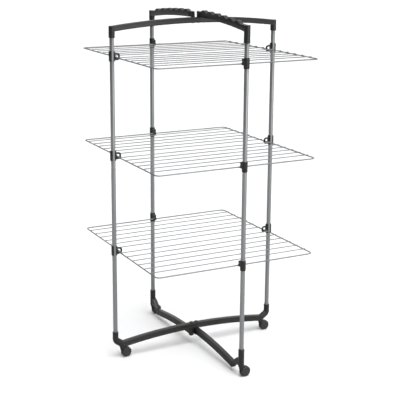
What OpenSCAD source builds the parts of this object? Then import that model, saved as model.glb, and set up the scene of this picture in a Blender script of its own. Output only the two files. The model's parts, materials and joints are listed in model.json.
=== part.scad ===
// Tower clothes drying rack on castors.
// Two legs stand in a fixed main frame. A front and a back leg swing about the
// middle of that frame. Three levels of wire grids hang between the four legs.

/* [Frame] */
// Distance from the centre to the left and right legs
leg_x = 365; // [362:1:372]
// Distance from the centre to the front and back legs
leg_y = 390; // [388:1:394]
// Outer diameter of the leg tubes
tube_d = 18; // [17:0.5:19]
// Wall of the leg tubes
tube_wall = 1; // [0.8:0.1:1.5]
// Height where the feet end and the bare tubes start
tube_low = 116; // [114:1:120]
// Height where the bare tubes end and the top sockets start
tube_high = 1330; // [1316:1:1341]
// Outer diameter of the sockets and feet around the tubes
socket_d = 25; // [24:0.5:26]
// Sideways offset of each swing pivot from the centre
pivot_x = 12; // [12:0.5:14]

/* [Arches] */
// Height of the top arch's centre line at its middle
top_mid = 1386; // [1384:1:1396]
// Rise of the top arch from a leg to its middle
top_rise = 22; // [18:1:26]
// Height of the base arch's centre line at its middle
base_mid = 82; // [81:1:85]
// Rise of the base arch from a foot to its middle
base_rise = 25; // [22:1:27]
// Width of the arches and base bars, and height of the top arch
bar = 22; // [21:0.5:22]
// Height of the base arch and the base bars
base_h = 25; // [22:0.5:25]
// Rounding of their edges
bar_edge = 3; // [2:0.5:7]

/* [Hanger arms] */
// Number of waves that keep coat hangers apart
waves = 6; // [4:1:6]
// Length of one wave
wave_pitch = 54; // [48:1:55]
// Height of a wave from dip to crest
wave_h = 8; // [4:0.5:8]

/* [Grids] */
// Height of the lowest grid
level_low = 463; // [461:1:471]
// Height from one grid to the next
level_pitch = 394.5; // [390:0.5:398]
// Distance from the hinge line to the outer rod of a half grid
grid_depth = 370; // [368:0.5:370]
// Distance from the centre to the middle of the ring clips' holes
grid_half = 345; // [344:0.5:346]
// Diameter of the rod that frames a half grid
rod_d = 5; // [4.5:0.1:5]
// Diameter of the drying wires
wire_d = 3.6; // [3:0.1:4]
// Drying wires across a half grid, besides the outer rod
wires = 6; // [4:1:7]

/* [Castors] */
// Distance from a castor's stem to its axle
castor_trail = 17; // [15:0.5:18]
// Diameter of the castor wheels
wheel_d = 41; // [40:0.5:42]
// Distance from a side leg to its castor's stem, measured inwards
castor_inset = 30; // [28:1:32]

/* [Hidden] */
$fn = 48;
LEVELS = [1, 2, 3];

plastic = "#3f403d";
steel = "#b4b7b9";

// Clearances: a seated tube, a turning pin, and faces that pass each other
seat_gap = 0.05;
turn_gap = 0.05;
pass_gap = 0.35;

// Sockets and tubes
tube_r = tube_d / 2;
socket_r = socket_d / 2;
bore_r = tube_r + seat_gap;
seat_depth = 28;
socket_edge = 1.5;

// Arches. A span's radius follows from its half width and rise.
function arc_radius(half, rise) = (half * half + rise * rise) / (2 * rise);
top_radius = arc_radius(leg_x, top_rise);
top_end = top_mid - top_rise + bar / 2;
foot_x = leg_x - castor_inset;
foot_low = 44;
base_radius = arc_radius(foot_x, base_rise);
base_end_x = foot_x - 20;
function drop(radius, s) = radius - sqrt(radius * radius - s * s);

// Swing pivots
pin_r = 3;
pin_head_r = 5.5;
pin_head_h = 2;
washer_h = 0.8;
knuckle_r = 7;
base_pin_r = 4;
base_cap_r = 9;
base_cap_h = 3.5;
base_boss_r = bar / 2 - 0.2;
base_boss_h = 4;

// Hanger arms, measured outwards from the pivot
arm_w = 20;
arm_low = top_mid + bar / 2 + washer_h;
arm_h = 22;
arm_shoulder = 22;
arm_radius = 2900;
arm_step = 4.5;
wave_from = wave_pitch / 2;
wave_to = wave_pitch * (waves + 0.5);
arm_top_end = arm_low - 2;

// Base bars under the base arch
base_bar_mid = base_mid - base_h - 0.8;
base_bar_radius = 2050;
base_bar_end = leg_y - 60;
spigot = 12;
spigot_len = 24;

// Feet
foot_r = socket_r - 0.5;
elbow_low = 63;
elbow_thick = 20;
neck_w = bar - 3;
neck_rise = 40;
neck_bend = 1.5;
neck_gap = 0.05;

// Clips
clip_h = 42;
ring_collar_low = -15;
ring_chamfer = 3;
ring_w = 8;
ring_bar_r = 3.75;
rod_r = rod_d / 2;
wire_r = wire_d / 2;
hinge_off = ring_bar_r + pass_gap - 0.05 + rod_r;
lane = 2.9;
ring_hole = 13.4;
ring_top_bar = 6.8;
ring_bend = 8;
snap_slot = 14;
hook_collar_r = tube_r + 2.3;
hook_collar_low = -17;
hook_chamfer = 1.5;
jaw_gap = 0.7;
jaw_wall = 3.6;
jaw_w = 14;
jaw_peak = 7;

// Grids
grid_corner = 18;
tail_bend = 21;
tail_len = 14;
wire_pitch = grid_depth / (wires + 0.65);
weld_sink = 0.4;
weld_step = 0.02;
weld_turn = 2;

// Castors
wheel_r = wheel_d / 2;
wheel_w = 8;
wheel_edge = 4.5;
cap_wall = 2.5;
web_half = 3;
side_gap = 0.4;
hood_wall = 1.3;
hood_r = wheel_r + 0.4 + hood_wall;
hood_w = 14;
stem_r = 4;
stem_top = 64;
axle_r = 2.5;
axle_half = web_half + side_gap + wheel_w - cap_wall;
collar_r = 9;

function level_z(n) = level_low + (n - 1) * level_pitch;
function hinge_z(n) = level_z(n) - hinge_off;

// A square with rounded corners, as the points of its outline
function rounded_square(w, h, r, steps = 4) = [
    for (corner = [0:3], i = [0:steps])
        let (
            a = corner * 90 + i * 90 / steps,
            sx = (corner == 0 || corner == 3) ? 1 : -1,
            sy = corner < 2 ? 1 : -1
        )
        [sx * (w / 2 - r) + r * cos(a), sy * (h / 2 - r) + r * sin(a)]
];

// The back of the rack is its front turned half way round.
module at_back() {
    rotate([0, 0, 180]) children();
}

// Turns what runs along +X so that it runs along -Y from a pivot.
module from_front_pivot() {
    translate([pivot_x, 0, 0]) rotate([0, 0, -90]) children();
}

// A bar that follows an arc in the XZ plane, with its highest point at mid.
module arc_bar(radius, from, to, mid, height = base_h) {
    a0 = asin(from / radius);
    a1 = asin(to / radius);
    translate([0, 0, mid - radius])
        rotate([90, 0, 0])
            rotate([0, 0, 90 - a1])
                rotate_extrude(angle = a1 - a0, $fn = 1440)
                    translate([radius, 0]) polygon(rounded_square(height, bar, bar_edge));
}

// An upright cylinder whose two ends are chamfered.
module chamfered(r, low, high, edge) {
    rotate_extrude()
        polygon([
            [0, low], [r - edge, low], [r, low + edge],
            [r, high - edge], [r - edge, high], [0, high]
        ]);
}

// A plain upright cylinder, used both as a pin and to cut a hole
module upright(r, low, high) {
    translate([0, 0, low]) cylinder(r = r, h = high - low);
}

module leg_tube(low) {
    color(steel)
        difference() {
            translate([0, 0, low]) cylinder(r = tube_r, h = tube_high + seat_depth - 1 - low);
            translate([0, 0, low - 1])
                cylinder(r = tube_r - tube_wall, h = tube_high + seat_depth + 1 - low);
        }
}

tube_foot = tube_low - seat_depth + 1;

module left_leg_tube() {
    translate([-leg_x, 0, 0]) leg_tube(tube_foot);
}

module right_leg_tube() {
    translate([leg_x, 0, 0]) leg_tube(tube_foot);
}

module front_leg_tube() {
    translate([pivot_x, -leg_y, 0]) leg_tube(tube_foot);
}

module back_leg_tube() {
    at_back() front_leg_tube();
}

// Main frame -----------------------------------------------------------------

module top_arch() {
    color(plastic)
        difference() {
            union() {
                arc_bar(top_radius, -leg_x, leg_x, top_mid, bar);
                for (side = [-1, 1])
                    translate([side * leg_x, 0, 0])
                        chamfered(socket_r, tube_high, top_end + 0.5, socket_edge);
            }
            for (side = [-1, 1]) {
                translate([side * leg_x, 0, 0]) upright(bore_r, tube_high - 1, tube_high + seat_depth);
                translate([side * pivot_x, 0, 0])
                    upright(pin_r + turn_gap, top_mid - bar, top_mid + bar);
            }
        }
}

module base_arch() {
    color(plastic)
        difference() {
            arc_bar(base_radius, -base_end_x, base_end_x, base_mid);
            for (side = [-1, 1]) {
                translate([side * pivot_x, 0, 0])
                    upright(base_pin_r + turn_gap, base_mid - base_h, base_mid + base_h);
                base_spigot(side, spigot + 2 * seat_gap, spigot_len + 1);
            }
        }
}

// The square tongue of a side foot inside the end of the base arch
module base_spigot(side, size, length) {
    slope = asin(base_end_x / base_radius);
    translate([side * base_end_x, 0, base_mid - drop(base_radius, base_end_x)])
        rotate([0, side * slope, 0])
            translate([side > 0 ? -length : -1, -size / 2, -size / 2])
                cube([length + 1, size, size]);
}

// An elbow that carries the leg tube, the base arch and a castor further in
module side_foot(side) {
    joint_z = base_mid - drop(base_radius, base_end_x);
    color(plastic)
        difference() {
            union() {
                translate([side * leg_x, 0, 0])
                    chamfered(foot_r, elbow_low, tube_low, socket_edge);
                hull() {
                    translate([side * leg_x, 0, elbow_low])
                        cylinder(r = foot_r, h = elbow_thick, $fn = 32);
                    translate([side * foot_x, 0, foot_low])
                        cylinder(r = foot_r, h = elbow_thick, $fn = 32);
                }
                arc_bar_side(side);
                base_spigot(side, spigot, spigot_len);
            }
            translate([side * leg_x, 0, 0])
                upright(bore_r, tube_low - seat_depth, tube_low + 1);
            translate([side * foot_x, 0, 0])
                upright(stem_r + turn_gap, foot_low - 1, stem_top + 1);
        }
}

// The stretch of the base arch's section that is moulded onto a side foot
module arc_bar_side(side) {
    if (side > 0) arc_bar(base_radius, base_end_x, foot_x, base_mid);
    else arc_bar(base_radius, -foot_x, -base_end_x, base_mid);
}

module left_foot() {
    side_foot(-1);
}

module right_foot() {
    side_foot(1);
}

module top_pivot_pins() {
    head_low = arm_low + arm_shoulder + 0.3;
    pin_low = top_mid - bar / 2 - 1;
    color(steel)
        for (side = [-1, 1])
            translate([side * pivot_x, 0, 0]) {
                upright(pin_r, pin_low, head_low + 0.5);
                translate([0, 0, head_low])
                    cylinder(r1 = pin_head_r, r2 = pin_head_r - 1, h = pin_head_h);
                upright(pin_head_r - 0.5, pin_low - 1, top_mid - bar / 2 - 0.3);
            }
}

module top_pivot_washers() {
    color(steel)
        for (side = [-1, 1])
            translate([side * pivot_x, 0, 0])
                difference() {
                    upright(knuckle_r - 0.5, top_mid + bar / 2 + 0.1, arm_low - 0.1);
                    upright(pin_r + turn_gap, top_mid, arm_low + 1);
                }
}

module base_pivot_pins() {
    cap_low = base_mid + base_h / 2 + 0.3;
    nut_low = base_bar_mid - base_h / 2 - base_boss_h - 1;
    color(plastic)
        for (side = [-1, 1])
            translate([side * pivot_x, 0, 0]) {
                upright(base_pin_r, nut_low, cap_low + 0.5);
                translate([0, 0, cap_low])
                    cylinder(r1 = base_cap_r, r2 = base_cap_r - 1.5, h = base_cap_h);
                upright(base_pin_r + 2.5, nut_low - 2, nut_low + 0.7);
            }
}

// A clip that snaps round a side leg. Its ring holds the ends of two half grids,
// which turn on the ring's round lower bar.
module ring_clip() {
    inset = leg_x - grid_half;
    hole_low = inset - ring_hole / 2;
    hole_high = inset + ring_hole / 2;
    color(plastic)
        difference() {
            union() {
                chamfered(socket_r, ring_collar_low, ring_collar_low + clip_h, ring_chamfer);
                translate([0, 0, -hinge_off])
                    rotate([0, 90, 0]) cylinder(r = ring_bar_r, h = hole_high + 4);
                translate([0, ring_w / 2, 0])
                    rotate([90, 0, 0]) linear_extrude(ring_w)
                        ring_outline(hole_low, hole_high);
            }
            upright(bore_r, -clip_h, clip_h);
            translate([-snap_slot / 2, -socket_r - 1, -clip_h])
                cube([snap_slot, socket_r - 4, 2 * clip_h]);
        }
}

// The ring's root, top and outer side in the XZ plane. Its lower bar is a cylinder.
module ring_outline(hole_low, hole_high) {
    hole_top = ring_bar_r - hinge_off + ring_hole;
    outer = hole_high + ring_top_bar;
    low = -hinge_off - ring_bar_r;
    polygon(concat(
        [[bore_r, low - 4], [hole_low, low + 1], [hole_low, hole_top], [hole_high, hole_top],
         [hole_high, low], [outer - 3, low], [outer, low + 3]],
        [for (a = [0:15:90])
            [outer + ring_bend * (cos(a) - 1), hole_top + ring_top_bar + ring_bend * (sin(a) - 1)]],
        [[hole_low, hole_top + ring_top_bar], [bore_r, hole_top + ring_top_bar + 4]]
    ));
}

module ring_clip_left(n) {
    translate([-leg_x, 0, level_z(n)]) ring_clip();
}

module ring_clip_right(n) {
    translate([leg_x, 0, level_z(n)]) mirror([1, 0, 0]) ring_clip();
}

// Swinging frames ------------------------------------------------------------

function arm_line(s) = arm_low + arm_h - s * s / (2 * arm_radius);
function arm_wave(s) = wave_h / 2 * (1 + cos(360 * s / wave_pitch));

// The arm seen from its side: a plain underside and a wavy top for hangers
function arm_outline() = concat(
    [[-knuckle_r, arm_low], [-knuckle_r, arm_low + arm_shoulder],
     [wave_from - 3, arm_low + arm_shoulder]],
    [for (s = [wave_from:arm_step:wave_to]) [s, arm_line(s) + arm_wave(s)]],
    [[leg_y - 6, arm_top_end + 1], [leg_y, arm_top_end]],
    [for (s = [leg_y:-15:0]) [s, arm_low - s * s / (2 * arm_radius)]]
);

// The arm seen from above: full width, narrowing to the round knuckle
module arm_plan() {
    circle(r = knuckle_r);
    polygon([
        [0, -knuckle_r + 0.5], [14, -arm_w / 2], [leg_y, -arm_w / 2],
        [leg_y, arm_w / 2], [14, arm_w / 2], [0, knuckle_r - 0.5]
    ]);
}

module front_hanger_arm() {
    color(plastic)
        from_front_pivot()
            difference() {
                union() {
                    intersection() {
                        translate([0, arm_w / 2, 0])
                            rotate([90, 0, 0]) linear_extrude(arm_w) polygon(arm_outline());
                        translate([0, 0, tube_high]) linear_extrude(200) arm_plan();
                    }
                    translate([leg_y, 0, 0])
                        chamfered(socket_r, tube_high, arm_top_end + 1, socket_edge);
                }
                upright(pin_r + turn_gap, tube_high, top_mid + 100);
                translate([leg_y, 0, 0]) upright(bore_r, tube_high - 1, tube_high + seat_depth);
            }
}

module back_hanger_arm() {
    at_back() front_hanger_arm();
}

module front_base_bar() {
    color(plastic)
        from_front_pivot()
            difference() {
                union() {
                    arc_bar(base_bar_radius, 0, base_bar_end, base_bar_mid);
                    chamfered(
                        base_boss_r,
                        base_bar_mid - base_h / 2 - base_boss_h,
                        base_bar_mid + base_h / 2 - 0.2,
                        1
                    );
                }
                upright(base_pin_r + turn_gap, 0, base_mid);
                bar_spigot(spigot + 2 * seat_gap, spigot_len + 1);
            }
}

module back_base_bar() {
    at_back() front_base_bar();
}

// The square tongue of a front or back foot inside the end of its base bar
module bar_spigot(size, length) {
    slope = asin(base_bar_end / base_bar_radius);
    translate([base_bar_end, 0, base_bar_mid - drop(base_bar_radius, base_bar_end)])
        rotate([0, slope, 0])
            translate([-length, -size / 2, -size / 2]) cube([length + 1, size, size]);
}

// A tall socket on its castor, with a curved neck in towards the base bar
module front_foot() {
    bar_z = base_bar_mid - drop(base_bar_radius, base_bar_end);
    color(plastic)
        from_front_pivot()
            difference() {
                union() {
                    translate([leg_y, 0, 0])
                        chamfered(foot_r, foot_low, tube_low, socket_edge);
                    translate([0, neck_w / 2, 0])
                        rotate([90, 0, 0]) linear_extrude(neck_w) neck_outline(bar_z);
                    bar_spigot(spigot, spigot_len);
                }
                translate([leg_y, 0, 0]) {
                    upright(bore_r, tube_low - seat_depth, tube_low + 1);
                    upright(stem_r + turn_gap, foot_low - 1, stem_top + 1);
                }
            }
}

// The neck starts along the bar's sloping end. Its upper edge sweeps up to the socket
// and its lower edge clears the castor.
module neck_outline(bar_z) {
    slope = asin(base_bar_end / base_bar_radius);
    low = -base_h / 2 + 3;
    high = base_h / 2 - 2;
    start = base_bar_end + neck_gap + high * tan(slope);
    run = leg_y - socket_r - start;
    polygon(concat(
        [[base_bar_end + neck_gap + low * tan(slope), bar_z + low]],
        [[base_bar_end + 6, bar_z + low + 4], [leg_y - 46, foot_low - 4]],
        [[leg_y - 30, foot_low - 0.5], [leg_y - 12, foot_low + 2], [leg_y, foot_low + 2]],
        [[leg_y, bar_z + high + neck_rise]],
        [for (t = [1:-0.25:0])
            [start + t * run, bar_z + high + (neck_rise - 1) * (1 - pow(1 - t, neck_bend))]]
    ));
}

module back_foot() {
    at_back() front_foot();
}

// A clip on a front or back leg, whose jaw reaches in over the outer rod.
module hook_clip() {
    reach = leg_y - grid_depth;
    jaw_r = rod_r + jaw_gap + jaw_wall;
    collar_top = hook_collar_low + clip_h;
    color(plastic)
        difference() {
            union() {
                chamfered(hook_collar_r, hook_collar_low, collar_top, hook_chamfer);
                translate([-jaw_w / 2, 0, 0])
                    rotate([90, 0, 90]) linear_extrude(jaw_w)
                        difference() {
                            union() {
                                translate([reach, 0]) circle(r = jaw_r);
                                translate([reach - 1, jaw_r + jaw_peak]) circle(r = jaw_r - 1.5);
                                polygon([
                                    [bore_r, -14], [reach - jaw_r + 0.5, 1], [reach, 2],
                                    [reach, jaw_r + jaw_peak + 3], [bore_r, collar_top - 4]
                                ]);
                            }
                            rod_seat(reach);
                        }
            }
            upright(bore_r, -clip_h, clip_h);
        }
}

// The rod's seat in the jaw, which is open below
module rod_seat(reach) {
    translate([reach, 0]) circle(r = rod_r + jaw_gap);
    translate([reach - rod_r - jaw_gap, -20]) square([2 * (rod_r + jaw_gap), 20]);
}

module hook_clip_front(n) {
    translate([pivot_x, -leg_y, level_z(n)]) hook_clip();
}

module hook_clip_back(n) {
    at_back() hook_clip_front(n);
}

// Grids ----------------------------------------------------------------------

// The bent rod of a half grid that opens towards -Y, with its hinge at the origin
module grid_rod(half) {
    straight = grid_depth - grid_corner;
    color(steel) {
        for (side = [-1, 1])
            translate([side * half, 0, 0]) rod_side(straight);
        for (side = [0, 1])
            mirror([side, 0, 0])
                translate([-half + grid_corner, -straight, hinge_off])
                    rotate([0, 0, 180])
                        rotate_extrude(angle = 90) translate([grid_corner, 0]) circle(r = rod_r);
        translate([-half + grid_corner, -grid_depth, hinge_off])
            rotate([0, 90, 0]) cylinder(r = rod_r, h = 2 * (half - grid_corner));
    }
}

// One side: the straight run, a short bend over the ring's bar, and a tail
module rod_side(straight) {
    translate([0, 0, hinge_off]) rotate([90, 0, 0]) cylinder(r = rod_r, h = straight);
    rotate([90, 0, 90])
        rotate([0, 0, 90 - tail_bend - weld_turn])
            rotate_extrude(angle = tail_bend + 2 * weld_turn)
                translate([hinge_off, 0]) circle(r = rod_r - weld_step);
    translate([0, hinge_off * sin(tail_bend), hinge_off * cos(tail_bend)])
        rotate([-90 - tail_bend, 0, 0]) cylinder(r = rod_r, h = tail_len);
}

module grid_wires(half) {
    reach = half + 1;
    height = hinge_off + rod_r + wire_r - weld_sink;
    color(steel)
        for (i = [1:wires])
            translate([-reach, -grid_depth + i * wire_pitch, height])
                rotate([0, 90, 0]) cylinder(r = wire_r, h = 2 * reach, $fn = 24);
}

module grid_frame_front(n) {
    translate([0, 0, hinge_z(n)]) grid_rod(grid_half + lane);
}

module grid_wires_front(n) {
    translate([0, 0, hinge_z(n)]) grid_wires(grid_half + lane);
}

module grid_frame_back(n) {
    at_back() translate([0, 0, hinge_z(n)]) grid_rod(grid_half - lane);
}

module grid_wires_back(n) {
    at_back() translate([0, 0, hinge_z(n)]) grid_wires(grid_half - lane);
}

// Castors --------------------------------------------------------------------

// Stem, collar and hood of a twin-wheel castor whose wheels trail towards +X
module castor_fork() {
    color(plastic)
        difference() {
            union() {
                upright(stem_r, foot_low - 6, stem_top);
                chamfered(collar_r, wheel_r + 12, foot_low - pass_gap, 1);
                translate([castor_trail, 0, wheel_r]) hood();
                translate([castor_trail, web_half, wheel_r])
                    rotate([90, 0, 0]) cylinder(r = wheel_r - 3, h = 2 * web_half);
                translate([-collar_r + 2.5, -web_half, wheel_r])
                    cube([collar_r + castor_trail, 2 * web_half, foot_low - wheel_r - 3]);
            }
            translate([castor_trail, hood_w, wheel_r])
                rotate([90, 0, 0]) cylinder(r = axle_r + turn_gap, h = 2 * hood_w);
            for (side = [0, 1])
                mirror([0, side, 0])
                    translate([castor_trail, hood_w, wheel_r])
                        rotate([90, 0, 0])
                            cylinder(r = hood_r - hood_wall, h = hood_w - web_half);
        }
}

// The upper half of a ring that shields the inner halves of both wheels
module hood() {
    translate([0, hood_w / 2, 0])
        rotate([90, 0, 0])
            linear_extrude(hood_w)
                difference() {
                    circle(r = hood_r);
                    circle(r = hood_r - hood_wall);
                    translate([-hood_r - 1, -hood_r - 1]) square([2 * hood_r + 2, hood_r + 1]);
                }
}

// Two wheels on one axle, with round shoulders and a closed, dished outer face
module castor_wheels() {
    inner = web_half + side_gap;
    outer = inner + wheel_w;
    flat_r = wheel_r - wheel_edge;
    color(plastic)
        translate([castor_trail, 0, wheel_r])
            rotate([90, 0, 0])
                for (side = [0, 1])
                    mirror([0, 0, side])
                        rotate_extrude()
                            polygon(concat(
                                [[axle_r + 0.02, inner], [wheel_r - 1, inner],
                                 [wheel_r, inner + 1]],
                                [for (a = [0:22.5:90])
                                    [flat_r + wheel_edge * cos(a),
                                     outer - wheel_edge + wheel_edge * sin(a)]],
                                [[flat_r - 1, outer - 0.8], [6, outer - 0.8], [5, outer],
                                 [0, outer], [0, axle_half + 0.1],
                                 [axle_r + 0.02, axle_half + 0.1]]
                            ));
}

module castor_axle() {
    color(steel)
        translate([castor_trail, axle_half, wheel_r])
            rotate([90, 0, 0]) cylinder(r = axle_r, h = 2 * axle_half);
}

// The stem positions of the four castors
module at_left() {
    translate([-foot_x, 0, 0]) children();
}

module at_right() {
    translate([foot_x, 0, 0]) children();
}

module at_front_leg() {
    translate([pivot_x, -leg_y, 0]) children();
}

module at_back_leg() {
    translate([-pivot_x, leg_y, 0]) children();
}

// Everything drawn -----------------------------------------------------------

left_leg_tube();
right_leg_tube();
top_arch();
base_arch();
left_foot();
right_foot();
top_pivot_pins();
top_pivot_washers();
base_pivot_pins();
front_leg_tube();
front_hanger_arm();
front_base_bar();
front_foot();
back_leg_tube();
back_hanger_arm();
back_base_bar();
back_foot();
for (n = LEVELS) {
    ring_clip_left(n);
    ring_clip_right(n);
    hook_clip_front(n);
    hook_clip_back(n);
    grid_frame_front(n);
    grid_wires_front(n);
    grid_frame_back(n);
    grid_wires_back(n);
}
at_left() castor_fork();  // castor_fork_left
at_left() castor_wheels();  // castor_wheels_left
at_left() castor_axle();  // castor_axle_left
at_right() castor_fork();  // castor_fork_right
at_right() castor_wheels();  // castor_wheels_right
at_right() castor_axle();  // castor_axle_right
at_front_leg() castor_fork();  // castor_fork_front
at_front_leg() castor_wheels();  // castor_wheels_front
at_front_leg() castor_axle();  // castor_axle_front
at_back_leg() castor_fork();  // castor_fork_back
at_back_leg() castor_wheels();  // castor_wheels_back
at_back_leg() castor_axle();  // castor_axle_back
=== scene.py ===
"""Looks of a tower clothes drying rack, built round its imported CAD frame."""

import json
import math

import bmesh
import bpy
from mathutils import Matrix, Vector


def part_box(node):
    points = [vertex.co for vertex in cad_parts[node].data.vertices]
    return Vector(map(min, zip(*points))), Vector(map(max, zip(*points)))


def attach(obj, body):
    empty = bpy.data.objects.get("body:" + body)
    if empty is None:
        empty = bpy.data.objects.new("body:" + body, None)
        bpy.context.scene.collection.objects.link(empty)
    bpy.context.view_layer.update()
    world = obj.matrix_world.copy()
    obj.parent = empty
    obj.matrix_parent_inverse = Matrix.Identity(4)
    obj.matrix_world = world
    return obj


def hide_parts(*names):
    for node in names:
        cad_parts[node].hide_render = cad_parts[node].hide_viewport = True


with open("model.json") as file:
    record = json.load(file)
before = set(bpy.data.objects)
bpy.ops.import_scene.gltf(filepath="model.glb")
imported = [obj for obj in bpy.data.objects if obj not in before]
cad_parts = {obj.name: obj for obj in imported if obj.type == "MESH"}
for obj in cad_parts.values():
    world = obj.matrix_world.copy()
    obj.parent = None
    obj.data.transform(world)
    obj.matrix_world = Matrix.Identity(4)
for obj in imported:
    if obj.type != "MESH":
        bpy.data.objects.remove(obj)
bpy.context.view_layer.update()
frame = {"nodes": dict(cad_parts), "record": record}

LEVELS = (1, 2, 3)
SMOOTH_ANGLE = math.radians(38)
SHARP_ANGLE = math.radians(30)


# Places and sizes, read from the CAD frame ----------------------------------------------


def middle(node):
    """The centre of a CAD node's box."""
    low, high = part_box(node)
    return (low + high) / 2


LEG_X = middle("right_leg_tube").x
LEG_Y = middle("back_leg_tube").y
PIVOT_X = middle("front_leg_tube").x
TUBE_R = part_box("front_leg_tube")[1].x - PIVOT_X
TUBE_LOW, TUBE_HIGH = (corner.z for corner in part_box("front_leg_tube"))
SOCKET_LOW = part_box("front_hanger_arm")[0].z
FOOT_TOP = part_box("front_foot")[1].z
FOOT_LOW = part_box("left_foot")[0].z
SOCKET_R = 0.0125
SLEEVE_R = SOCKET_R - 0.0002
FOOT_R = SOCKET_R - 0.0005

# The front and back frames are laid out along +X from their pivot, then turned.
FRONT = Matrix.Translation((PIVOT_X, 0, 0)) @ Matrix.Rotation(-math.pi / 2, 4, "Z")
BACK = Matrix.Rotation(math.pi, 4, "Z") @ FRONT
SIDES = {"front": FRONT, "back": BACK}
HALF_TURN = Matrix.Rotation(math.pi, 4, "Z")


# Material helpers -----------------------------------------------------------------------


class Nodes:
    """A material's node tree, with short calls to add and link nodes."""

    def __init__(self, name):
        self.material = bpy.data.materials.new(name)
        self.material.use_nodes = True
        self.tree = self.material.node_tree
        self.shader = self.tree.nodes["Principled BSDF"]

    def add(self, kind, values=None, **settings):
        """A node, with its settings and the values of its input sockets."""
        made = self.tree.nodes.new(kind)
        for key, value in settings.items():
            setattr(made, key, value)
        for key, value in (values or {}).items():
            made.inputs[key].default_value = value
        return made

    def link(self, start, end):
        """Joins an output socket to an input socket."""
        self.tree.links.new(start, end)

    def coords(self, scale):
        """Object coordinates, stretched by a scale for each axis."""
        place = self.add("ShaderNodeTexCoord")
        mapping = self.add("ShaderNodeMapping", {"Scale": scale})
        self.link(place.outputs["Object"], mapping.inputs["Vector"])
        return mapping.outputs["Vector"]

    def noise(self, scale, stretch=(1, 1, 1), detail=3.0, roughness=0.5):
        """A noise texture's factor."""
        values = {"Scale": scale, "Detail": detail, "Roughness": roughness}
        made = self.add("ShaderNodeTexNoise", values)
        self.link(self.coords(stretch), made.inputs["Vector"])
        return made.outputs["Fac"]

    def spread(self, factor, low, high, from_low=0.3, from_high=0.7):
        """Maps a factor to a range."""
        values = {"From Min": from_low, "From Max": from_high, "To Min": low, "To Max": high}
        made = self.add("ShaderNodeMapRange", values)
        self.link(factor, made.inputs["Value"])
        return made.outputs["Result"]

    def blend(self, factor, first, second):
        """Mixes two colours. Each is a colour, or the output of another node."""
        made = self.add("ShaderNodeMix", data_type="RGBA")
        self.link(factor, made.inputs["Factor"])
        for socket, colour in ((made.inputs[6], first), (made.inputs[7], second)):
            if isinstance(colour, tuple):
                socket.default_value = (*colour, 1)
            else:
                self.link(colour, socket)
        return made.outputs[2]

    def bump(self, height, distance, strength=1.0, under=None):
        """Turns a height into a surface normal, on top of another normal if one is given."""
        made = self.add("ShaderNodeBump", {"Distance": distance, "Strength": strength})
        self.link(height, made.inputs["Height"])
        if under is not None:
            self.link(under, made.inputs["Normal"])
        return made.outputs["Normal"]

    def edges(self, low, high):
        """1 on convex edges and 0 elsewhere."""
        geometry = self.add("ShaderNodeNewGeometry")
        return self.spread(geometry.outputs["Pointiness"], 0, 1, low, high)

    def finish(self, colour, roughness, normal, metallic=0.0, specular=0.5):
        """Links the outputs to the shader and returns the material."""
        shader = self.shader
        self.link(colour, shader.inputs["Base Color"])
        self.link(roughness, shader.inputs["Roughness"])
        self.link(normal, shader.inputs["Normal"])
        shader.inputs["Metallic"].default_value = metallic
        shader.inputs["Specular IOR Level"].default_value = specular
        return self.material


# Materials ------------------------------------------------------------------------------


def coated_steel(name, dark, light, grain):
    """Silver-grey coated steel: faint drawing lines along Z and a speckled coat."""
    nodes = Nodes(name)
    cloud = nodes.noise(9, (1, 1, 0.3), 4)
    lines = nodes.noise(grain, (1, 1, 0.012), 2)
    speckle = nodes.noise(2600, detail=1)
    colour = nodes.blend(nodes.spread(cloud, 0, 1), dark, light)
    flecks = nodes.spread(speckle, 0, 0.35, 0.55, 0.8)
    colour = nodes.blend(flecks, colour, (0.5, 0.51, 0.52))
    roughness = nodes.spread(lines, 0.27, 0.4)
    normal = nodes.bump(speckle, 0.00003)
    normal = nodes.bump(lines, 0.00002, under=normal)
    return nodes.finish(colour, roughness, normal, metallic=0.65, specular=0.4)


def wire_steel():
    """Light grey coat on the drying wires and their frame."""
    nodes = Nodes("grid_wire")
    cloud = nodes.noise(14, detail=4)
    speckle = nodes.noise(3400, detail=1)
    colour = nodes.blend(nodes.spread(cloud, 0, 1), (0.25, 0.255, 0.26), (0.31, 0.315, 0.32))
    roughness = nodes.spread(cloud, 0.34, 0.46)
    normal = nodes.bump(speckle, 0.00003)
    return nodes.finish(colour, roughness, normal, metallic=0.6)


def moulded_plastic(name, dark, light, low_rough, high_rough):
    """Anthracite moulded plastic: pebbled grain, faint flow marks and paler rubbed edges."""
    nodes = Nodes(name)
    flow = nodes.noise(11, detail=5, roughness=0.6)
    pebbles = nodes.add("ShaderNodeTexVoronoi", {"Scale": 1400.0}, feature="SMOOTH_F1")
    nodes.link(nodes.coords((1, 1, 1)), pebbles.inputs["Vector"])
    fine = nodes.noise(5200, detail=1)
    colour = nodes.blend(nodes.spread(flow, 0, 1), dark, light)
    rubbed = tuple(1.9 * channel for channel in light)
    colour = nodes.blend(nodes.edges(0.53, 0.62), colour, rubbed)
    roughness = nodes.spread(flow, low_rough, high_rough)
    normal = nodes.bump(pebbles.outputs["Distance"], 0.00006, 0.7)
    normal = nodes.bump(fine, 0.00002, 0.5, under=normal)
    return nodes.finish(colour, roughness, normal, specular=0.45)


def wheel_plastic():
    """Hard wheel plastic, scuffed and slightly dusty."""
    nodes = Nodes("wheel_plastic")
    scuffs = nodes.noise(260, (1, 1, 1), 6, 0.7)
    dust = nodes.noise(60, detail=4)
    colour = nodes.blend(nodes.spread(scuffs, 0, 1, 0.45, 0.75), (0.028, 0.028, 0.027),
                         (0.046, 0.046, 0.044))
    colour = nodes.blend(nodes.spread(dust, 0, 0.35, 0.5, 0.75), colour, (0.07, 0.068, 0.065))
    roughness = nodes.spread(scuffs, 0.35, 0.55)
    normal = nodes.bump(scuffs, 0.00004)
    return nodes.finish(colour, roughness, normal)


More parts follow.
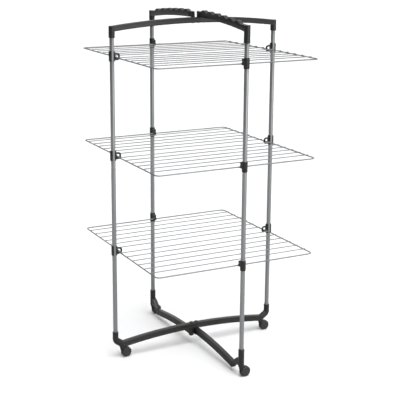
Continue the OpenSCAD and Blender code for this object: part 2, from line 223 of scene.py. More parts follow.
def pivot_steel():
    """Zinc plated steel with fine turning marks."""
    nodes = Nodes("pivot_steel")
    marks = nodes.noise(900, (1, 1, 0.2), 2)
    cloud = nodes.noise(120, detail=3)
    colour = nodes.blend(nodes.spread(cloud, 0, 1), (0.42, 0.42, 0.41), (0.56, 0.56, 0.57))
    roughness = nodes.spread(marks, 0.22, 0.4)
    normal = nodes.bump(marks, 0.00002)
    return nodes.finish(colour, roughness, normal, metallic=1.0)


def floor_paint():
    """The plain pale studio floor. It throws less light back than it shows."""
    nodes = Nodes("studio_floor")
    cloud = nodes.noise(0.7, detail=2)
    colour = nodes.blend(nodes.spread(cloud, 0, 1), (0.945, 0.945, 0.95), (0.955, 0.955, 0.96))
    path = nodes.add("ShaderNodeLightPath")
    colour = nodes.blend(path.outputs["Is Camera Ray"], (0.5, 0.5, 0.5), colour)
    roughness = nodes.spread(cloud, 0.5, 0.6)
    normal = nodes.bump(nodes.noise(300, detail=1), 0.00002)
    return nodes.finish(colour, roughness, normal, specular=0.2)


MATERIALS = {
    "leg_tube": coated_steel("leg_tube", (0.325, 0.335, 0.345), (0.37, 0.38, 0.39), 700),
    "grid_wire": wire_steel(),
    "frame_plastic": moulded_plastic(
        "frame_plastic", (0.016, 0.016, 0.0145), (0.022, 0.022, 0.02), 0.3, 0.42
    ),
    "wheel_plastic": wheel_plastic(),
    "pivot_steel": pivot_steel(),
}


# Mesh helpers ---------------------------------------------------------------------------


def new_piece(name, parts, body, nodes, slot):
    """One object from several meshes. It stands for CAD nodes and rides on their body."""
    whole = bmesh.new()
    for part, matrix in parts:
        part.transform(matrix)
        loose = bpy.data.meshes.new("loose")
        part.to_mesh(loose)
        part.free()
        whole.from_mesh(loose)
        bpy.data.meshes.remove(loose)
    bmesh.ops.recalc_face_normals(whole, faces=whole.faces)
    mesh = bpy.data.meshes.new(name)
    whole.to_mesh(mesh)
    whole.free()
    mesh.shade_smooth()
    mesh.set_sharp_from_angle(angle=SMOOTH_ANGLE)
    piece = bpy.data.objects.new(name, mesh)
    bpy.context.scene.collection.objects.link(piece)
    piece.data.materials.append(MATERIALS[slot])
    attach(piece, body)
    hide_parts(*nodes)
    return piece


def round_edges(part, width, steps=3):
    """Rounds every edge where two faces meet at a clear angle."""
    if width > 0:
        part.normal_update()
        edges = [e for e in part.edges
                 if len(e.link_faces) == 2 and e.calc_face_angle(0) > SHARP_ANGLE]
        bmesh.ops.bevel(part, geom=edges, offset=width, segments=steps, profile=0.5,
                        affect="EDGES", clamp_overlap=True)
    return part


def prism(outline, low_y, high_y, edge=0.0, steps=3):
    """An outline in the XZ plane, pulled out along Y, with rounded edges."""
    part = bmesh.new()
    near = [part.verts.new((x, low_y, z)) for x, z in outline]
    far = [part.verts.new((x, high_y, z)) for x, z in outline]
    part.faces.new(near)
    part.faces.new(list(reversed(far)))
    count = len(outline)
    for i in range(count):
        j = (i + 1) % count
        part.faces.new((near[j], near[i], far[i], far[j]))
    bmesh.ops.recalc_face_normals(part, faces=part.faces)
    return round_edges(part, edge, steps)


def lathe(profile, segments=48):
    """A profile of (radius, height) points, turned round the Z axis. Radius 0 closes it."""
    part = bmesh.new()
    rings = []
    for radius, height in profile:
        if radius == 0:
            rings.append([part.verts.new((0, 0, height))] * segments)
            continue
        turns = (2 * math.pi * i / segments for i in range(segments))
        rings.append([part.verts.new((radius * math.cos(a), radius * math.sin(a), height))
                      for a in turns])
    for lower, upper in zip(rings, rings[1:]):
        for i in range(segments):
            j = (i + 1) % segments
            corners = []
            for corner in (lower[i], lower[j], upper[j], upper[i]):
                if corner not in corners:
                    corners.append(corner)
            part.faces.new(corners)
    return part


def rounded_lathe(profile, edge, segments=48):
    """A lathe whose profile corners are rounded."""
    return lathe(fillet(profile, edge, 4), segments)


def sweep(path, section, thickness=None):
    """Pulls a section of (y, across) points along a path of (x, z) points in the XZ plane.
    Thickness gives the scale of the section in that plane at each share of the path."""
    part = bmesh.new()
    count = len(path)
    rings = []
    for i, (x, z) in enumerate(path):
        before = Vector(path[max(i - 1, 0)])
        after = Vector(path[min(i + 1, count - 1)])
        along = (after - before).normalized()
        across = Vector((-along.y, along.x))
        wide = thickness(i / (count - 1)) if thickness else 1
        rings.append([part.verts.new((x + n * wide * across.x, y, z + n * wide * across.y))
                      for y, n in section])
    size = len(section)
    for one, two in zip(rings, rings[1:]):
        for i in range(size):
            j = (i + 1) % size
            part.faces.new((one[i], one[j], two[j], two[i]))
    part.faces.new(rings[0])
    part.faces.new(list(reversed(rings[-1])))
    bmesh.ops.recalc_face_normals(part, faces=part.faces)
    return part


def circle(radius, steps):
    """A round section."""
    turns = (2 * math.pi * i / steps for i in range(steps))
    return [(radius * math.cos(a), radius * math.sin(a)) for a in turns]


def arc_points(x, z, radius, first, last, steps=8):
    """Points of an arc round (x, z) from one angle to another, in degrees."""
    turns = (math.radians(first + (last - first) * i / steps) for i in range(steps + 1))
    return [(x + radius * math.cos(a), z + radius * math.sin(a)) for a in turns]


def arc_line(radius, start, end, crest, steps):
    """Points of an arc in the XZ plane whose highest point is at x = 0 and z = crest."""
    spread = [start + (end - start) * i / steps for i in range(steps + 1)]
    return [(x, crest - radius + math.sqrt(radius * radius - x * x)) for x in spread]


def fillet(points, radius, steps):
    """Rounds the inner corners of an open line of (x, z) points."""
    line = [points[0]]
    for before, here, after in zip(points, points[1:], points[2:]):
        here = Vector(here)
        back = Vector(before) - here
        on = Vector(after) - here
        reach = min(radius, back.length / 2.05, on.length / 2.05)
        start = here + back.normalized() * reach
        end = here + on.normalized() * reach
        for i in range(steps + 1):
            t = i / steps
            bend = (1 - t) ** 2 * start + 2 * t * (1 - t) * here + t * t * end
            line.append((bend.x, bend.y))
    line.append(points[-1])
    return line


def at(x, y=0.0, z=0.0):
    """A move to a place."""
    return Matrix.Translation((x, y, z))


def along_y(x, z):
    """Lays a part that was turned round Z on its side, so that its axis runs along Y."""
    return at(x, 0, z) @ Matrix.Rotation(-math.pi / 2, 4, "X")


# Leg tubes ------------------------------------------------------------------------------

BODY_OF_LEG = {"left": "main_frame", "right": "main_frame", "front": "front_frame",
               "back": "back_frame"}


def leg_tube(which):
    """A drawn steel tube with turned-in ends, which stay inside the sockets."""
    place = middle(f"{which}_leg_tube")
    wall = 0.001
    profile = [
        (TUBE_R - wall, TUBE_LOW + wall), (TUBE_R - wall / 2, TUBE_LOW),
        (TUBE_R, TUBE_LOW + wall), (TUBE_R, TUBE_HIGH - wall),
        (TUBE_R - wall / 2, TUBE_HIGH), (TUBE_R - wall, TUBE_HIGH - wall),
        (TUBE_R - wall, TUBE_LOW + wall),
    ]
    part = lathe(profile, 64)
    bmesh.ops.remove_doubles(part, verts=part.verts, dist=1e-6)
    name = f"{which}_leg_tube"
    new_piece(f"{name}_finished", [(part, at(place.x, place.y))], BODY_OF_LEG[which], [name],
              "leg_tube")


for leg in BODY_OF_LEG:
    leg_tube(leg)


# Arches and base bars -------------------------------------------------------------------

BAR = 0.022
BASE_H = 0.025
BAR_EDGE = 0.003
GROOVE_DEPTH = 0.0009
GROOVE_HALF = 0.0038


def bar_section(height):
    """A rounded rectangle with a shallow groove along each upright side."""
    half = BAR / 2
    quarter = [(half - GROOVE_DEPTH, GROOVE_HALF), (half, GROOVE_HALF + GROOVE_DEPTH)]
    quarter += arc_points(half - BAR_EDGE, height / 2 - BAR_EDGE, BAR_EDGE, 0, 90, 6)
    section = list(quarter)
    section += [(-y, n) for y, n in reversed(quarter)]
    section += [(-y, -n) for y, n in quarter]
    section += [(y, -n) for y, n in reversed(quarter)]
    return section


def arc_bar(radius, start, end, crest, height=BASE_H, steps=48):
    """A grooved bar along an arc. The crest is the height of its centre line."""
    return sweep(arc_line(radius, start, end, crest, steps), bar_section(height))


def span_radius(half, rise):
    """The radius of an arc from its half span and its rise."""
    return (half * half + rise * rise) / (2 * rise)


def socket(low, high):
    """A socket moulding with a slightly raised rim where the tube goes in."""
    rim = 0.004
    lip = 0.0004
    profile = [
        (TUBE_R, low + 0.001), (TUBE_R + 0.001, low), (SOCKET_R, low), (SOCKET_R, low + rim),
        (SOCKET_R - lip, low + rim + lip), (SOCKET_R - lip, high), (0, high),
    ]
    return rounded_lathe(profile, 0.0012, 64)


TOP_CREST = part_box("top_arch")[1].z - BAR / 2
TOP_RISE = 0.022
TOP_END = TOP_CREST - TOP_RISE + BAR / 2
BASE_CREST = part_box("base_arch")[1].z - BASE_H / 2
BASE_RISE = 0.025
CASTOR_INSET = 0.030
FOOT_X = LEG_X - CASTOR_INSET
BASE_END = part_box("base_arch")[1].x
BASE_RADIUS = span_radius(FOOT_X, BASE_RISE)


def top_arch():
    """The arch over the left and right legs, with a socket at each end."""
    radius = span_radius(LEG_X, TOP_RISE)
    parts = [(arc_bar(radius, -LEG_X, LEG_X, TOP_CREST, BAR), Matrix())]
    for side in (-1, 1):
        parts.append((socket(SOCKET_LOW, TOP_END), at(side * LEG_X)))
        parts.append((rounded_lathe([(0.010, 0), (0.010, 0.0012), (0, 0.0012)], 0.0006),
                      at(side * PIVOT_X, 0, TOP_CREST + BAR / 2 - 0.0007)))
    new_piece("top_arch_finished", parts, "main_frame", ["top_arch"], "frame_plastic")


def base_arch():
    """The arch between the side feet, near the floor."""
    part = arc_bar(BASE_RADIUS, -BASE_END, BASE_END, BASE_CREST)
    new_piece("base_arch_finished", [(part, Matrix())], "main_frame", ["base_arch"],
              "frame_plastic")


top_arch()
base_arch()


# Side feet ------------------------------------------------------------------------------

ELBOW_TOP = 0.079
ELBOW_LOW = 0.058


def side_foot(which):
    """An elbow from the leg down and in to the castor, with a stub of the base arch."""
    line = [(LEG_X, FOOT_TOP - 0.015), (LEG_X, ELBOW_TOP), (FOOT_X, ELBOW_LOW),
            (FOOT_X, FOOT_LOW)]

    def fuller_middle(share):
        return 1 + 0.2 * math.sin(math.pi * share) ** 2

    elbow = sweep(fillet(line, 0.016, 10), circle(FOOT_R, 40), thickness=fuller_middle)
    sleeve = rounded_lathe([
        (TUBE_R, FOOT_TOP - 0.001), (TUBE_R + 0.001, FOOT_TOP), (SLEEVE_R, FOOT_TOP),
        (SLEEVE_R, FOOT_TOP - 0.005), (FOOT_R, FOOT_TOP - 0.006),
        (FOOT_R, FOOT_TOP - 0.022), (0, FOOT_TOP - 0.022),
    ], 0.0012, 64)
    collar = rounded_lathe([
        (0, FOOT_LOW), (FOOT_R, FOOT_LOW), (FOOT_R, FOOT_LOW + 0.016), (0, FOOT_LOW + 0.016),
    ], 0.0015, 64)
    stub = arc_bar(BASE_RADIUS, BASE_END, FOOT_X, BASE_CREST, steps=6)
    turn = Matrix() if which == "right" else HALF_TURN
    parts = [(elbow, turn), (sleeve, turn @ at(LEG_X)), (collar, turn @ at(FOOT_X)),
             (stub, turn)]
    new_piece(f"{which}_foot_finished", parts, "main_frame", [f"{which}_foot"],
              "frame_plastic")


side_foot("left")
side_foot("right")


# Hanger arms ----------------------------------------------------------------------------

ARM_LOW = TOP_CREST + BAR / 2 + 0.0008
ARM_H = 0.022
ARM_SHOULDER = 0.022
ARM_HALF = 0.010
ARM_RADIUS = 2.9
ARM_END = ARM_LOW - 0.002
WAVE = 0.054
WAVE_H = 0.008
WAVES = 6
KNUCKLE_R = 0.007
ARM_START = 0.014


def arm_under(s):
    """The height of the arm's plain underside at a distance from the pivot."""
    return ARM_LOW - s * s / (2 * ARM_RADIUS)


def arm_top(s):
    """The wavy upper edge, where a dip holds each coat hanger apart from the next."""
    wave = WAVE_H / 2 * (1 + math.cos(2 * math.pi * s / WAVE))
    return ARM_LOW + ARM_H - s * s / (2 * ARM_RADIUS) + wave


def arm_outline():
    """The arm seen from its side: shoulder, waves, tip and underside."""
    first = WAVE / 2
    last = WAVE * (WAVES + 0.5)
    shoulder = ARM_LOW + ARM_SHOULDER
    line = [(ARM_START, arm_under(ARM_START)), (ARM_START, shoulder), (first - 0.003, shoulder)]
    steps = 26 * WAVES
    line += [(s, arm_top(s)) for s in (first + (last - first) * i / steps
                                       for i in range(steps + 1))]
    line += [(LEG_Y - 0.006, ARM_END + 0.001), (LEG_Y, ARM_END)]
    steps = 24
    line += [(s, arm_under(s)) for s in (LEG_Y - (LEG_Y - ARM_START) * i / steps
                                         for i in range(steps))]
    return line


def hanger_arm(side):
    """A wavy arm from its pivot over the top arch to the socket on its leg."""
    turn = SIDES[side]
    body = prism(arm_outline(), -ARM_HALF, ARM_HALF, 0.0022)
    shoulder = ARM_LOW + ARM_SHOULDER
    neck = prism([(0, ARM_LOW), (ARM_START + 0.004, ARM_LOW), (ARM_START + 0.004, shoulder),
                  (0, shoulder)], -KNUCKLE_R + 0.0003, KNUCKLE_R - 0.0003, 0.001)
    knuckle = rounded_lathe([(0, ARM_LOW), (KNUCKLE_R, ARM_LOW), (KNUCKLE_R, shoulder),
                             (0, shoulder)], 0.0012)
    top = ARM_END + 0.001
    parts = [(body, turn), (neck, turn), (knuckle, turn),
             (socket(SOCKET_LOW, top), turn @ at(LEG_Y))]
    new_piece(f"{side}_hanger_arm_finished", parts, f"{side}_frame", [f"{side}_hanger_arm"],
              "frame_plastic")


# Base bars and their feet ---------------------------------------------------------------

BAR_CREST = BASE_CREST - BASE_H - 0.0008
BAR_RADIUS = 2.05
BAR_END = LEG_Y - 0.060
HUB_R = BAR / 2 - 0.0002
BOSS_H = 0.004
NECK_RISE = 0.040
NECK_BEND = 1.5


def base_bar(side):
    """A bar from its pivot under the base arch out to the foot of its leg."""
    turn = SIDES[side]
    bar = arc_bar(BAR_RADIUS, 0.004, BAR_END, BAR_CREST)
    low = BAR_CREST - BASE_H / 2 - BOSS_H
    high = BAR_CREST + BASE_H / 2 - 0.0002
    hub = rounded_lathe([(0, low), (HUB_R, low), (HUB_R, high), (0, high)], 0.0012)
    parts = [(bar, turn), (hub, turn)]
    new_piece(f"{side}_base_bar_finished", parts, f"{side}_frame", [f"{side}_base_bar"],
              "frame_plastic")


def neck_outline():
    """The foot's neck: its upper edge sweeps up to the socket, its lower clears the castor."""
    line_z = BAR_CREST - BAR_RADIUS + math.sqrt(BAR_RADIUS ** 2 - BAR_END ** 2)
    slope = BAR_END / math.sqrt(BAR_RADIUS ** 2 - BAR_END ** 2)
    low = -BASE_H / 2 + 0.003
    high = BASE_H / 2 - 0.002
    start = BAR_END + high * slope
    run = LEG_Y - SOCKET_R - start
    line = [
        (BAR_END + low * slope, line_z + low), (BAR_END + 0.006, line_z + low + 0.004),
        (LEG_Y - 0.046, FOOT_LOW - 0.004), (LEG_Y - 0.030, FOOT_LOW - 0.0005),
        (LEG_Y - 0.012, FOOT_LOW + 0.002), (LEG_Y, FOOT_LOW + 0.002),
        (LEG_Y, line_z + high + NECK_RISE),
    ]
    steps = 10
    for i in range(steps + 1):
        share = 1 - (i / steps) ** NECK_BEND
        line.append((start + (1 - i / steps) * run, line_z + high + (NECK_RISE - 0.001) * share))
    return line


def leg_foot(side):
    """A tall socket over a castor, with a curved neck in towards the base bar."""
    turn = SIDES[side]
    neck_half = (BAR - 0.003) / 2
    post = rounded_lathe([
        (0, FOOT_LOW), (FOOT_R, FOOT_LOW), (FOOT_R, FOOT_TOP - 0.005),
        (SLEEVE_R, FOOT_TOP - 0.004), (SLEEVE_R, FOOT_TOP),
        (TUBE_R + 0.001, FOOT_TOP), (TUBE_R, FOOT_TOP - 0.001),
    ], 0.0012, 64)
    neck = prism(neck_outline(), -neck_half, neck_half, 0.0012, 2)
    parts = [(post, turn @ at(LEG_Y)), (neck, turn)]
    new_piece(f"{side}_foot_finished", parts, f"{side}_frame", [f"{side}_foot"],
              "frame_plastic")


# Clips on the legs ----------------------------------------------------------------------

CLIP_H = 0.042
ROD_R = 0.0025
RING_BAR_R = 0.00375
HINGE_DROP = RING_BAR_R + 0.0003 + ROD_R
RING_HOLE = 0.0134
RING_W = 0.008
RING_COLLAR_LOW = -0.015
RING_CHAMFER = 0.003


def grid_height(level):
    """The height of the rods' centre line at a level."""
    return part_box(f"grid_frame_front_{level}")[1].z - ROD_R


def open_sleeve():
    """A clip's sleeve, open towards -Y so that it snaps onto a tube. Its ends taper."""
    opening = math.radians(34)
    steps = 40
    turns = [-math.pi / 2 + opening + (2 * math.pi - 2 * opening) * i / steps
             for i in range(steps + 1)]
    top = RING_COLLAR_LOW + CLIP_H
    rims = [(RING_COLLAR_LOW, RING_CHAMFER), (RING_COLLAR_LOW + RING_CHAMFER / 2, 0.0011),
            (RING_COLLAR_LOW + RING_CHAMFER, 0), (top - RING_CHAMFER, 0),
            (top - RING_CHAMFER / 2, 0.0011), (top, RING_CHAMFER)]
    part = bmesh.new()
    outer, inner = [], []
    for z, taper in rims:
        radius = SOCKET_R - taper
        outer.append([part.verts.new((radius * math.cos(a), radius * math.sin(a), z))
                      for a in turns])
        inner.append([part.verts.new((TUBE_R * math.cos(a), TUBE_R * math.sin(a), z))
                      for a in turns])
    for rows, flip in ((outer, False), (inner, True)):
        for one, two in zip(rows, rows[1:]):
            for i in range(steps):
                face = (one[i], one[i + 1], two[i + 1], two[i])
                part.faces.new(tuple(reversed(face)) if flip else face)
    for out_row, in_row in ((outer[0], inner[0]), (outer[-1], inner[-1])):
        for i in range(steps):
            part.faces.new((out_row[i], in_row[i], in_row[i + 1], out_row[i + 1]))
    for k in range(len(rims) - 1):
        for i in (0, steps):
            part.faces.new((outer[k][i], outer[k + 1][i], inner[k + 1][i], inner[k][i]))
    bmesh.ops.recalc_face_normals(part, faces=part.faces)
    return part


def ring_clip(which, level):
    """A snap-on clip whose ring holds the ends of two half grids."""
    node = f"ring_clip_{which}_{level}"
    low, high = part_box(node)
    reach = high.x - low.x - SOCKET_R
    outer = reach - 0.0034
    root = SOCKET_R - 0.002
    bar_z = -HINGE_DROP
    top_z = bar_z + RING_BAR_R + RING_HOLE + 0.0034
    line = [(root - 0.002, bar_z), (outer, bar_z), (outer, top_z), (root - 0.002, top_z + 0.002)]
    ring = sweep(fillet(line, 0.0075, 8), circle(RING_BAR_R, 24))
    plate = prism([(TUBE_R + 0.0004, bar_z - 0.0075), (root + 0.004, bar_z - 0.001),
                   (root + 0.004, top_z - 0.004), (TUBE_R + 0.0004, top_z + 0.007)],
                  -RING_W / 2, RING_W / 2, 0.0012)
    turn = at(-LEG_X if which == "left" else LEG_X, 0, grid_height(level))
    if which == "right":
        turn = turn @ Matrix.Scale(-1, 4, (1, 0, 0))
    parts = [(open_sleeve(), turn), (ring, turn), (plate, turn)]
    new_piece(f"{node}_finished", parts, "main_frame", [node], "frame_plastic")


HOOK_COLLAR_R = TUBE_R + 0.0023
HOOK_COLLAR_LOW = -0.017
HOOK_CHAMFER = 0.0015
JAW_W = 0.014
JAW_GAP = 0.0007
JAW_WALL = 0.0036
JAW_PEAK = 0.007


def jaw_outline(reach):
    """The jaw in its own XZ plane, along +X from the leg: root, rod's seat, nose and peak."""
    seat_r = ROD_R + JAW_GAP
    nose_r = seat_r + JAW_WALL
    root = TUBE_R + 0.0005
    line = [(root, HOOK_COLLAR_LOW + CLIP_H - 0.004), (root, -0.014)]
    line += arc_points(reach, 0, nose_r, 178, 242, 5)
    line += arc_points(reach, 0, seat_r, 180, 0)
    line += arc_points(reach, 0, nose_r, -62, 70, 12)
    line += arc_points(reach - 0.001, nose_r + JAW_PEAK, nose_r - 0.0015, -60, 105, 12)
    return line


def hook_clip(side, level):
    """A clip on a swinging leg, whose jaw snaps over the outer rod of a half grid."""
    node = f"hook_clip_{side}_{level}"
    reach = LEG_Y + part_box(f"grid_frame_front_{level}")[0].y + ROD_R
    low = HOOK_COLLAR_LOW
    high = low + CLIP_H
    sleeve = rounded_lathe([
        (TUBE_R, low + 0.0005), (TUBE_R + 0.0006, low), (HOOK_COLLAR_R - HOOK_CHAMFER, low),
        (HOOK_COLLAR_R, low + HOOK_CHAMFER), (HOOK_COLLAR_R, high - HOOK_CHAMFER),
        (HOOK_COLLAR_R - HOOK_CHAMFER, high), (TUBE_R + 0.0006, high), (TUBE_R, high - 0.0005),
    ], 0.0006, 64)
    jaw = prism(jaw_outline(reach), -JAW_W / 2, JAW_W / 2, 0.0008, 2)
    turn = SIDES[side] @ at(LEG_Y, 0, grid_height(level))
    parts = [(sleeve, turn), (jaw, turn @ HALF_TURN)]
    new_piece(f"{node}_finished", parts, f"{side}_frame", [node], "frame_plastic")


for side in SIDES:
    hanger_arm(side)
    base_bar(side)
    leg_foot(side)
for level in LEVELS:
    for which in ("left", "right"):
        ring_clip(which, level)
    for side in SIDES:
        hook_clip(side, level)


# Grids ----------------------------------------------------------------------------------

WIRE_R = 0.0018
WELD_R = 0.0024
GRID_CORNER = 0.018
TAIL_BEND = math.radians(21)
TAIL = 0.014
WIRES = 6


def grid_rod(side, level):
    """The bent rod that frames a half grid, with a hooked tail at each hinge."""
    node = f"grid_frame_{side}_{level}"
    low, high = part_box(node)
    half = high.x - ROD_R
    depth = (-low.y if side == "front" else high.y) - ROD_R
    line_z = grid_height(level)
    plan = [(half, 0)]
    for i in range(9):
        a = i * math.pi / 16
        plan.append((half - GRID_CORNER + GRID_CORNER * math.cos(a),
                     -depth + GRID_CORNER - GRID_CORNER * math.sin(a)))
    plan += [(-x, y) for x, y in reversed(plan)]
    path = [Vector((x, y, line_z)) for x, y in plan]
    start = []
    for i in range(1, 5):
        a = TAIL_BEND * i / 4
        start.append((HINGE_DROP * math.sin(a), line_z - HINGE_DROP * (1 - math.cos(a))))
    tail_y, tail_z = start[-1]
    start.append((tail_y + TAIL * math.cos(TAIL_BEND), tail_z - TAIL * math.sin(TAIL_BEND)))
    first = [Vector((half, y, z)) for y, z in reversed(start)]
    last = [Vector((-half, y, z)) for y, z in start]
    part = tube(first + path + last, ROD_R, 16)
    turn = Matrix() if side == "front" else HALF_TURN
    new_piece(f"{node}_finished", [(part, turn)], f"{side}_grid_{level}", [node], "grid_wire")


def tube(path, radius, sides):
    """A round rod along points in space, with slightly domed ends."""
    part = bmesh.new()
    rings = []
    count = len(path)
    up = Vector((0, 0, 1))
    for i, point in enumerate(path):
        before = path[max(i - 1, 0)]
        after = path[min(i + 1, count - 1)]
        along = (after - before).normalized()
        across = along.cross(up).normalized()
        upward = across.cross(along).normalized()
        ring = []
        for k in range(sides):
            a = 2 * math.pi * k / sides
            ring.append(part.verts.new(point + radius * (math.cos(a) * across
                                                         + math.sin(a) * upward)))
        rings.append(ring)
    for one, two in zip(rings, rings[1:]):
        for k in range(sides):
            j = (k + 1) % sides
            part.faces.new((one[k], one[j], two[j], two[k]))
    for ring, inward in ((rings[0], path[1] - path[0]), (rings[-1], path[-2] - path[-1])):
        tip = part.verts.new(sum((v.co for v in ring), Vector()) / sides
                             - inward.normalized() * radius * 0.25)
        for k in range(sides):
            part.faces.new((ring[k], ring[(k + 1) % sides], tip))
    bmesh.ops.recalc_face_normals(part, faces=part.faces)
    return part


def grid_wires(side, level):
    """The drying wires, laid on the rod and welded to it at both ends."""
    node = f"grid_wires_{side}_{level}"
    frame_low, frame_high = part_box(f"grid_frame_{side}_{level}")
    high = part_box(node)[1]
    depth = (-frame_low.y if side == "front" else frame_high.y) - ROD_R
    rod_x = frame_high.x - ROD_R
    pitch = depth / (WIRES + 0.65)
    height = high.z - WIRE_R
    parts = []
    turn = Matrix() if side == "front" else HALF_TURN
    for i in range(1, WIRES + 1):
        y = -depth + i * pitch
        ends = [Vector((x, y, height)) for x in (-high.x, -high.x / 2, 0, high.x / 2, high.x)]
        parts.append((tube(ends, WIRE_R, 14), turn))
        for end in (-1, 1):
            weld = bmesh.new()
            bmesh.ops.create_uvsphere(weld, u_segments=12, v_segments=8, radius=WELD_R)
            flat = Matrix.Diagonal((1.0, 1.15, 0.55, 1))
            parts.append((weld, turn @ at(end * rod_x, y, height - WIRE_R) @ flat))
    new_piece(f"{node}_finished", parts, f"{side}_grid_{level}", [node], "grid_wire")


for side in SIDES:
    for level in LEVELS:
        grid_rod(side, level)
        grid_wires(side, level)


# Pivots ---------------------------------------------------------------------------------


def top_pivots():
    """Two rivets with domed heads, and a washer under each arm."""
    low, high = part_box("top_pivot_pins")
    head_low = high.z - 0.002
    parts = []
    for side in (-1, 1):
        dome = [(0.0052, head_low + 0.0008), (0.0038, head_low + 0.0016), (0.002, high.z),
                (0, high.z)]
        shank = [(0, low.z), (0.005, low.z), (0.005, low.z + 0.003), (0.003, low.z + 0.003),
                 (0.003, head_low), (0.0055, head_low)]
        parts.append((lathe(shank + dome, 32), at(side * PIVOT_X)))
    new_piece("top_pivot_pins_finished", parts, "main_frame", ["top_pivot_pins"],
              "pivot_steel")


def base_pivots():
    """Two push-in pins with flat round caps that show above the base arch."""
    low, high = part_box("base_pivot_pins")
    cap = 0.009
    parts = []
    for side in (-1, 1):
        profile = [
            (0, low.z), (0.0065, low.z), (0.0065, low.z + 0.0027), (0.004, low.z + 0.0027),
            (0.004, high.z - 0.0035), (cap, high.z - 0.0035), (cap - 0.0012, high.z),
            (cap - 0.0035, high.z), (cap - 0.0042, high.z - 0.0008), (0, high.z - 0.0008),
        ]
        parts.append((rounded_lathe(profile, 0.0008, 40), at(side * PIVOT_X)))
    new_piece("base_pivot_pins_finished", parts, "main_frame", ["base_pivot_pins"],
              "frame_plastic")


top_pivots()
base_pivots()


# Castors --------------------------------------------------------------------------------

TRAIL = 0.017
WHEEL_R = 0.0205
WHEEL_W = 0.008
WHEEL_EDGE = 0.0045
WEB_HALF = 0.003
SIDE_GAP = 0.0004
HOOD_WALL = 0.0013
HOOD_R = WHEEL_R + 0.0004 + HOOD_WALL
HOOD_HALF = 0.007
HOOD_FROM = 8
HOOD_TO = 152
COLLAR_R = 0.009
COLLAR_LOW = WHEEL_R + 0.012
COLLAR_TOP = FOOT_LOW - 0.00035
FORK_FRONT = -0.0065
FORK_TOP = FOOT_LOW - 0.003
STEM_LOW = FOOT_LOW - 0.006
COLLAR_CUT = 0.0366
COLLAR_SLOPE = 0.42
STEM_R = 0.004
STEM_TOP = 0.064
SPOKES = 5
STEM = {
    "left": (-FOOT_X, 0),
    "right": (FOOT_X, 0),
    "front": (PIVOT_X, -LEG_Y),
    "back": (-PIVOT_X, LEG_Y),
}


def cut_below(part, place, normal):
    """Removes what lies under a plane and closes the cut."""
    everything = part.verts[:] + part.edges[:] + part.faces[:]
    bmesh.ops.bisect_plane(part, geom=everything, plane_co=place, plane_no=normal,
                           clear_inner=True)
    bmesh.ops.holes_fill(part, edges=[e for e in part.edges if e.is_boundary])
    return part


def castor_fork(which):
    """Stem, collar, web and hood of a twin-wheel castor."""
    node = f"castor_fork_{which}"
    place = at(*STEM[which])
    ring = arc_points(0, 0, HOOD_R, HOOD_FROM, HOOD_TO, 28)
    ring += arc_points(0, 0, HOOD_R - HOOD_WALL, HOOD_TO, HOOD_FROM, 28)
    hood = prism(ring, -HOOD_HALF, HOOD_HALF, 0.0005, 2)
    web_r = WHEEL_R - 0.003
    web = rounded_lathe([(0, -WEB_HALF), (web_r, -WEB_HALF), (web_r, WEB_HALF), (0, WEB_HALF)],
                        0.0005, 40)
    arm = prism([(FORK_FRONT, COLLAR_LOW), (0.004, WHEEL_R), (TRAIL, WHEEL_R),
                 (TRAIL, FORK_TOP), (FORK_FRONT, FORK_TOP)], -WEB_HALF, WEB_HALF, 0.0008)
    collar = rounded_lathe([(0, COLLAR_LOW), (COLLAR_R, COLLAR_LOW), (COLLAR_R, COLLAR_TOP),
                            (0, COLLAR_TOP)], 0.0012)
    # The collar's underside slopes up over the wheels
    collar = cut_below(collar, (0, 0, COLLAR_CUT), (-COLLAR_SLOPE, 0, 1))
    post = rounded_lathe([(0, STEM_LOW), (STEM_R, STEM_LOW), (STEM_R, STEM_TOP), (0, STEM_TOP)],
                         0.001, 24)
    parts = [(hood, place @ at(TRAIL, 0, WHEEL_R)), (web, place @ along_y(TRAIL, WHEEL_R)),
             (arm, place), (collar, place), (post, place)]
    new_piece(f"{node}_finished", parts, f"{which}_castor", [node], "frame_plastic")


def castor_wheels(which):
    """Two wheels with round shoulders and a dished outer face with shallow spokes."""
    node = f"castor_wheels_{which}"
    inner = WEB_HALF + SIDE_GAP
    outer = inner + WHEEL_W
    dish = outer - 0.0008
    flat_r = WHEEL_R - WHEEL_EDGE
    hub_r = 0.006
    bore_r = 0.00252
    blind = outer - 0.0024
    profile = [(bore_r, inner), (WHEEL_R - 0.001, inner), (WHEEL_R, inner + 0.001)]
    profile += arc_points(flat_r, outer - WHEEL_EDGE, WHEEL_EDGE, 0, 90)
    profile += [(flat_r - 0.001, dish), (hub_r, dish), (hub_r - 0.001, outer), (0, outer)]
    bore = [(bore_r, inner), (bore_r, blind), (0, blind)]
    parts = []
    for flip in (0, 1):
        facing = at(*STEM[which]) @ along_y(TRAIL, WHEEL_R)
        if flip:
            facing = facing @ Matrix.Rotation(math.pi, 4, "X")
        parts.append((lathe(profile, 56), facing))
        parts.append((lathe(bore, 56), facing))
        for i in range(SPOKES):
            spoke = prism([(hub_r - 0.0005, dish - 0.001), (flat_r, dish - 0.001),
                           (flat_r, dish + 0.0005), (hub_r - 0.0005, dish + 0.0005)],
                          -0.0012, 0.0012, 0.0004, 2)
            turn = Matrix.Rotation(2 * math.pi * i / SPOKES, 4, "Z")
            parts.append((spoke, facing @ turn))
    new_piece(f"{node}_finished", parts, f"{which}_wheels", [node], "wheel_plastic")


for which in STEM:
    castor_fork(which)
    castor_wheels(which)


# CAD nodes whose shape is right get only their material ---------------------------------

SLOT_OF = {part["node"]: part["material_slot"] for part in frame["record"]["subparts"]}
for name, node in frame["nodes"].items():
    node.data.materials.clear()
    node.data.materials.append(MATERIALS[SLOT_OF[name]])


# Floor, light and camera ----------------------------------------------------------------


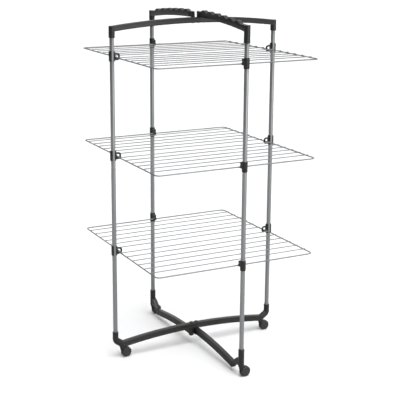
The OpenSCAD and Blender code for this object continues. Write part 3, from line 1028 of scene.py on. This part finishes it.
def studio_floor():
    """A wide round floor, which is part of the stage and not of the rack."""
    sheet = bmesh.new()
    bmesh.ops.create_circle(sheet, cap_ends=True, segments=96, radius=40)
    mesh = bpy.data.meshes.new("studio_floor")
    sheet.to_mesh(mesh)
    sheet.free()
    mesh.materials.append(floor_paint())
    floor = bpy.data.objects.new("studio_floor", mesh)
    bpy.context.scene.collection.objects.link(floor)


def area_light(name, place, target, size, power):
    """A soft rectangular light that faces a target."""
    data = bpy.data.lights.new(name, "AREA")
    data.shape = "RECTANGLE"
    data.size, data.size_y = size
    data.energy = power
    light = bpy.data.objects.new(name, data)
    light.location = place
    light.rotation_euler = (Vector(target) - Vector(place)).to_track_quat("-Z", "Y").to_euler()
    bpy.context.scene.collection.objects.link(light)


def soft_sun(power, towards_right, towards_front, height, width):
    """Broad soft daylight that lights the whole floor alike."""
    data = bpy.data.lights.new("soft_sun", "SUN")
    data.energy = power
    data.angle = math.radians(width)
    light = bpy.data.objects.new("soft_sun", data)
    aim = Vector((towards_right, towards_front, -height))
    light.rotation_euler = aim.to_track_quat("-Z", "Y").to_euler()
    bpy.context.scene.collection.objects.link(light)


def studio_world(seen, dark, bright):
    """A white studio. The light from it grows from the left side to the right and back."""
    world = bpy.data.worlds.new("studio")
    world.use_nodes = True
    tree = world.node_tree
    glow = tree.nodes["Background"]
    glow.inputs["Color"].default_value = (0.98, 0.985, 0.99, 1)
    place = tree.nodes.new("ShaderNodeTexCoord")
    across = tree.nodes.new("ShaderNodeVectorMath")
    across.operation = "DOT_PRODUCT"
    across.inputs[1].default_value = (0.95, 0.3, 0)
    grade = tree.nodes.new("ShaderNodeMapRange")
    grade.inputs["From Min"].default_value = -0.3
    grade.inputs["From Max"].default_value = 0.7
    grade.inputs["To Min"].default_value = dark
    grade.inputs["To Max"].default_value = bright
    path = tree.nodes.new("ShaderNodeLightPath")
    level = tree.nodes.new("ShaderNodeMapRange")
    level.inputs["To Max"].default_value = seen
    tree.links.new(place.outputs["Generated"], across.inputs[0])
    tree.links.new(across.outputs["Value"], grade.inputs["Value"])
    tree.links.new(grade.outputs["Result"], level.inputs["To Min"])
    tree.links.new(path.outputs["Is Camera Ray"], level.inputs["Value"])
    tree.links.new(level.outputs["Result"], glow.inputs["Strength"])
    bpy.context.scene.world = world


def photo_camera():
    """A camera left of and in front of the rack, turned down towards its middle."""
    data = bpy.data.cameras.new("camera")
    data.lens = 91.4
    data.sensor_width = 36
    data.shift_x = 0.0181
    data.shift_y = -0.055
    camera = bpy.data.objects.new("camera", data)
    turn_right = math.radians(27.29)
    look_down = math.radians(13.7)
    tilt = math.radians(0.34)
    camera.location = (-1.889, -3.644, 1.734)
    camera.rotation_mode = "XYZ"
    facing = (Matrix.Rotation(-turn_right, 4, "Z") @ Matrix.Rotation(math.pi / 2 - look_down, 4, "X")
              @ Matrix.Rotation(tilt, 4, "Z"))
    camera.rotation_euler = facing.to_euler()
    bpy.context.scene.collection.objects.link(camera)
    bpy.context.scene.camera = camera


studio_floor()
studio_world(1.02, 0.06, 0.95)
soft_sun(2.8, 0.06, 0.38, 1, 48)
rack_middle = (0, 0, 0.75)
area_light("front_fill", (1.2, -4.4, 1.5), rack_middle, (1.6, 2.4), 45)
photo_camera()
bpy.context.scene.view_settings.view_transform = "Standard"
